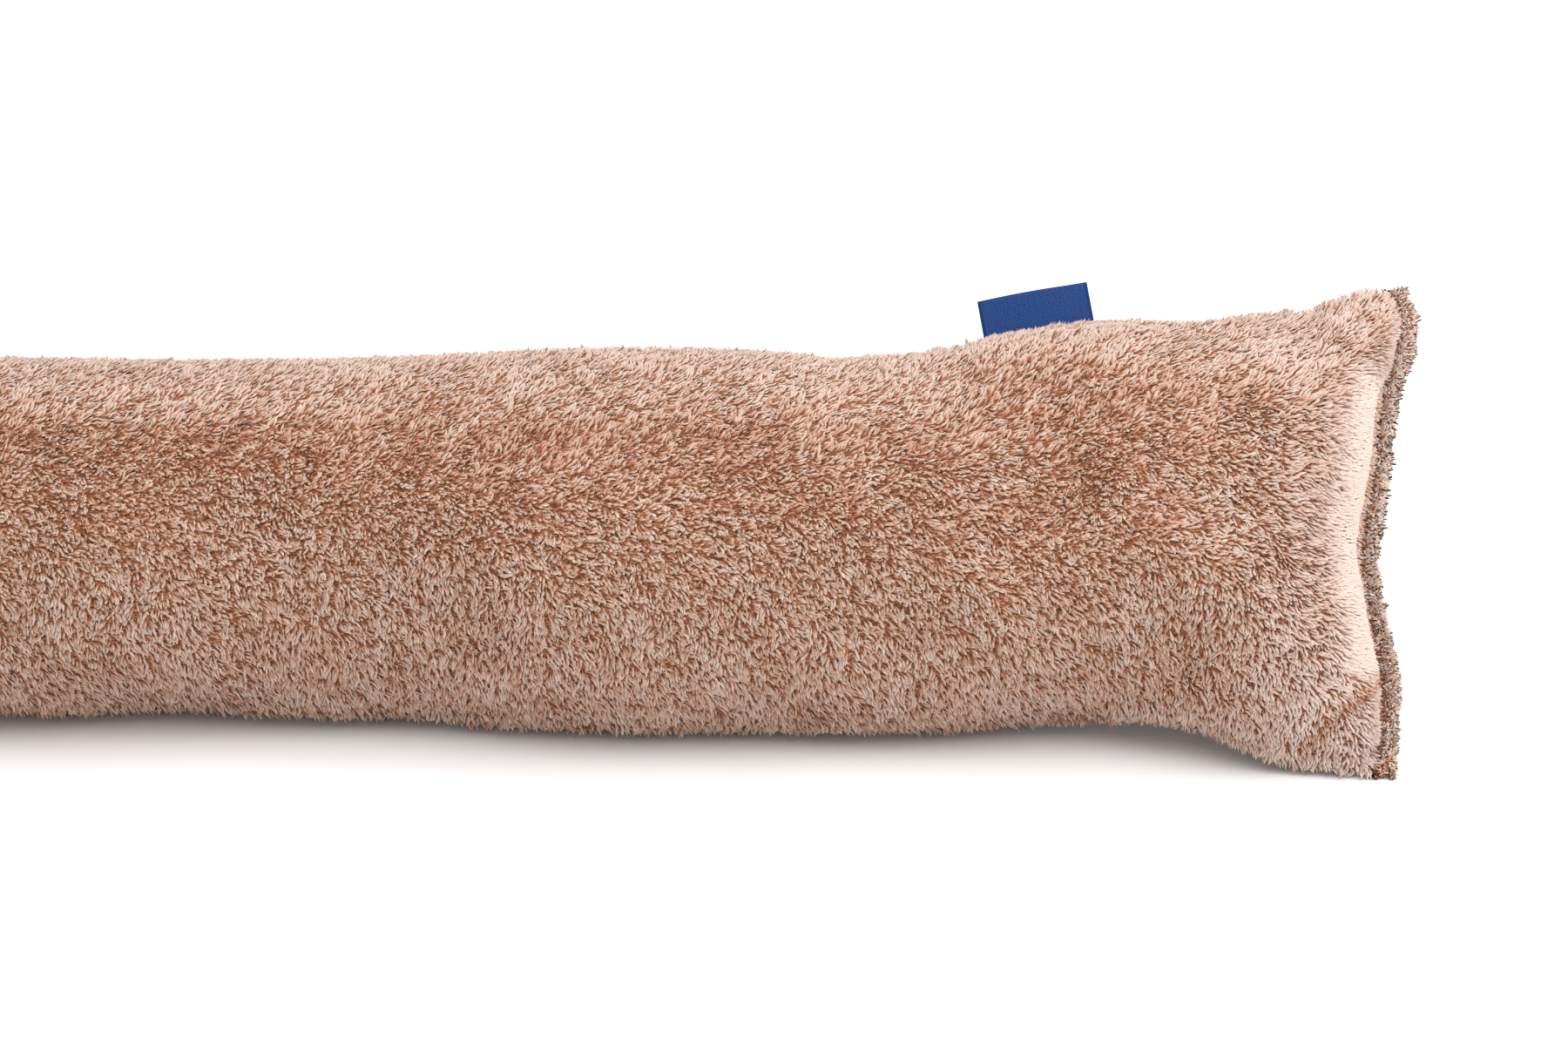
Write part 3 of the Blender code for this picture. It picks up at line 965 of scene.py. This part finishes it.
leaf_height = label_size[1] - FOLD_RADIUS - RIBBON_THICK / 2
ribbon_width = label_size[0] - 0.4 * MM
ribbon_length = 2 * leaf_height + math.pi * FOLD_RADIUS
print("the ribbon was cut", round(ribbon_width / MM, 1), "x", round(ribbon_length / MM, 1), "mm")


def bent(across_share, along_share):
    """Where a place on the flat ribbon goes when it is folded, as (across, up, through) from the middle."""
    run = (along_share - 0.5) * ribbon_length
    half_fold = math.pi * FOLD_RADIUS / 2
    if abs(run) < half_fold:
        turn = run / FOLD_RADIUS
        up, through = FOLD_RADIUS * math.cos(turn), FOLD_RADIUS * math.sin(turn)
    else:
        up, through = half_fold - abs(run), math.copysign(FOLD_RADIUS, run)
    drop = min(1.0, -up / leaf_height) if up < 0 else 0.0
    side_share = abs(across_share - 0.5) * 2
    bow = RIBBON_BOW * (math.cos((across_share - BOW_MIDDLE) * BOW_TURN) - BOW_LEVEL) * (1 - drop)
    opens = math.copysign(RIBBON_OPENS, through) * side_share**4 * math.sin(drop * math.pi)
    top = label_size[1] / 2 - FOLD_RADIUS - RIBBON_THICK / 2
    return (across_share - 0.5) * ribbon_width, top + up, through + bow + opens


def folded_ribbon():
    bm = bmesh.new()
    bmesh.ops.create_grid(bm, x_segments=ACROSS_STEPS, y_segments=ALONG_STEPS, size=0.5)
    ribbon_map = bm.loops.layers.uv.new("ribbon")
    for face in bm.faces:
        for loop in face.loops:
            loop[ribbon_map].uv = (loop.vert.co.x + 0.5, loop.vert.co.y + 0.5)
    for vert in bm.verts:
        place = np.array(bent(vert.co.x + 0.5, vert.co.y + 0.5))
        vert.co = label_middle + place @ label_ways
    bmesh.ops.recalc_face_normals(bm, faces=bm.faces)
    mesh = bpy.data.meshes.new("ribbon_label")
    bm.to_mesh(mesh)
    bm.free()
    mesh.shade_smooth()
    piece = bpy.data.objects.new("ribbon_label", mesh)
    bpy.context.scene.collection.objects.link(piece)
    thick = piece.modifiers.new("thickness", "SOLIDIFY")
    thick.thickness = RIBBON_THICK
    thick.offset = 0
    return piece


# %% Woven ribbon material
RIB_PITCH = 0.32 * MM
SELVEDGE = 0.03  # share of the width
NAVY_DARK = linear(8, 26, 66)
NAVY = linear(20, 48, 100)
NAVY_LIGHT = linear(50, 84, 142)


def ribbon_finish():
    finish = Finish("ribbon_navy")
    uv = finish.node("ShaderNodeUVMap", {"uv_map": "ribbon"})
    u = finish.node("ShaderNodeSeparateXYZ", {}, {0: uv})
    v = Value(finish, u.socket.node.outputs[1])
    weft = (v * (ribbon_length / RIB_PITCH * 2 * math.pi)).math("SINE")
    warp = (u * (ribbon_width / RIB_PITCH * 2 * math.pi)).math("SINE")
    threads = finish.node("ShaderNodeCombineXYZ", {}, {0: u * 90, 1: v * 160})
    uneven = finish.node("ShaderNodeTexNoise", {}, {"Vector": threads, "Scale": 1.0, "Detail": 2.0}) - 0.5
    edge = (u - 0.5).math("ABSOLUTE").math("GREATER_THAN", 0.5 - SELVEDGE)
    ramp = finish.node(
        "ShaderNodeValToRGB",
        {"stops": [(0.0, NAVY_DARK), (0.5, NAVY), (1.0, NAVY_LIGHT)]},
        {0: 0.5 + weft * warp * 0.3 + uneven * 2.4 - edge * 0.2},
    )
    height = weft * warp * 0.5 + uneven + edge * 0.6
    bump = finish.node("ShaderNodeBump", {}, {"Strength": 0.5, "Distance": 0.12 * MM, "Height": height})
    return finish.shade(Base_Color=ramp, Roughness=0.7, Specular_IOR_Level=0.15, Normal=bump)


ribbon = folded_ribbon()
ribbon.data.materials.append(ribbon_finish())
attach(ribbon, "root")
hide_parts("woven_label")


# %% [markdown]
# ## Floor and light
#
# The picture is a cut-out on white with the object's own shadow, so the floor is pale and evenly lit.
# Soft light comes from all round, and a little more of it from the front, from above and from beside the
# labelled end.

# %% Floor, lamps and world
FLOOR_SIZE = 6
FLOOR_GREY = 0.86
WORLD_STRENGTH = 1.05
# A lamp has five columns: its name, where it stands, what it faces, its two sides in metres and its watts.
LAMPS = (
    ("front", (0.5, -1.0, 1.4), (0.2, 0, 0.05), (1.6, 1.0), 16),
    ("overhead", (0.3, 0.1, 1.6), (0.2, 0, 0.05), (1.6, 0.8), 10),
    ("side", (1.4, -0.5, 0.7), (0.42, 0, 0.07), (0.8, 0.8), 5),
)


def floor():
    bm = bmesh.new()
    bmesh.ops.create_grid(bm, x_segments=1, y_segments=1, size=FLOOR_SIZE)
    mesh = bpy.data.meshes.new("floor")
    bm.to_mesh(mesh)
    bm.free()
    made = bpy.data.objects.new("floor", mesh)
    finish = Finish("floor_white")
    grey = (FLOOR_GREY, FLOOR_GREY, FLOOR_GREY, 1.0)
    mesh.materials.append(finish.shade(Base_Color=grey, Roughness=0.9, Specular_IOR_Level=0.1))
    bpy.context.scene.collection.objects.link(made)


def lamp(name, place, target, size, power):
    data = bpy.data.lights.new(name, "AREA")
    data.shape = "RECTANGLE"
    data.size, data.size_y = size
    data.energy = power
    made = bpy.data.objects.new(name, data)
    made.location = place
    made.rotation_euler = (Vector(place) - Vector(target)).to_track_quat("Z", "Y").to_euler()
    bpy.context.scene.collection.objects.link(made)


floor()
for row in LAMPS:
    lamp(*row)
world = bpy.data.worlds.new("studio")
world.use_nodes = True
world.node_tree.nodes["Background"].inputs[0].default_value = (1.0, 1.0, 1.0, 1.0)
world.node_tree.nodes["Background"].inputs[1].default_value = WORLD_STRENGTH
bpy.context.scene.world = world
bpy.context.scene.view_settings.view_transform = "Standard"
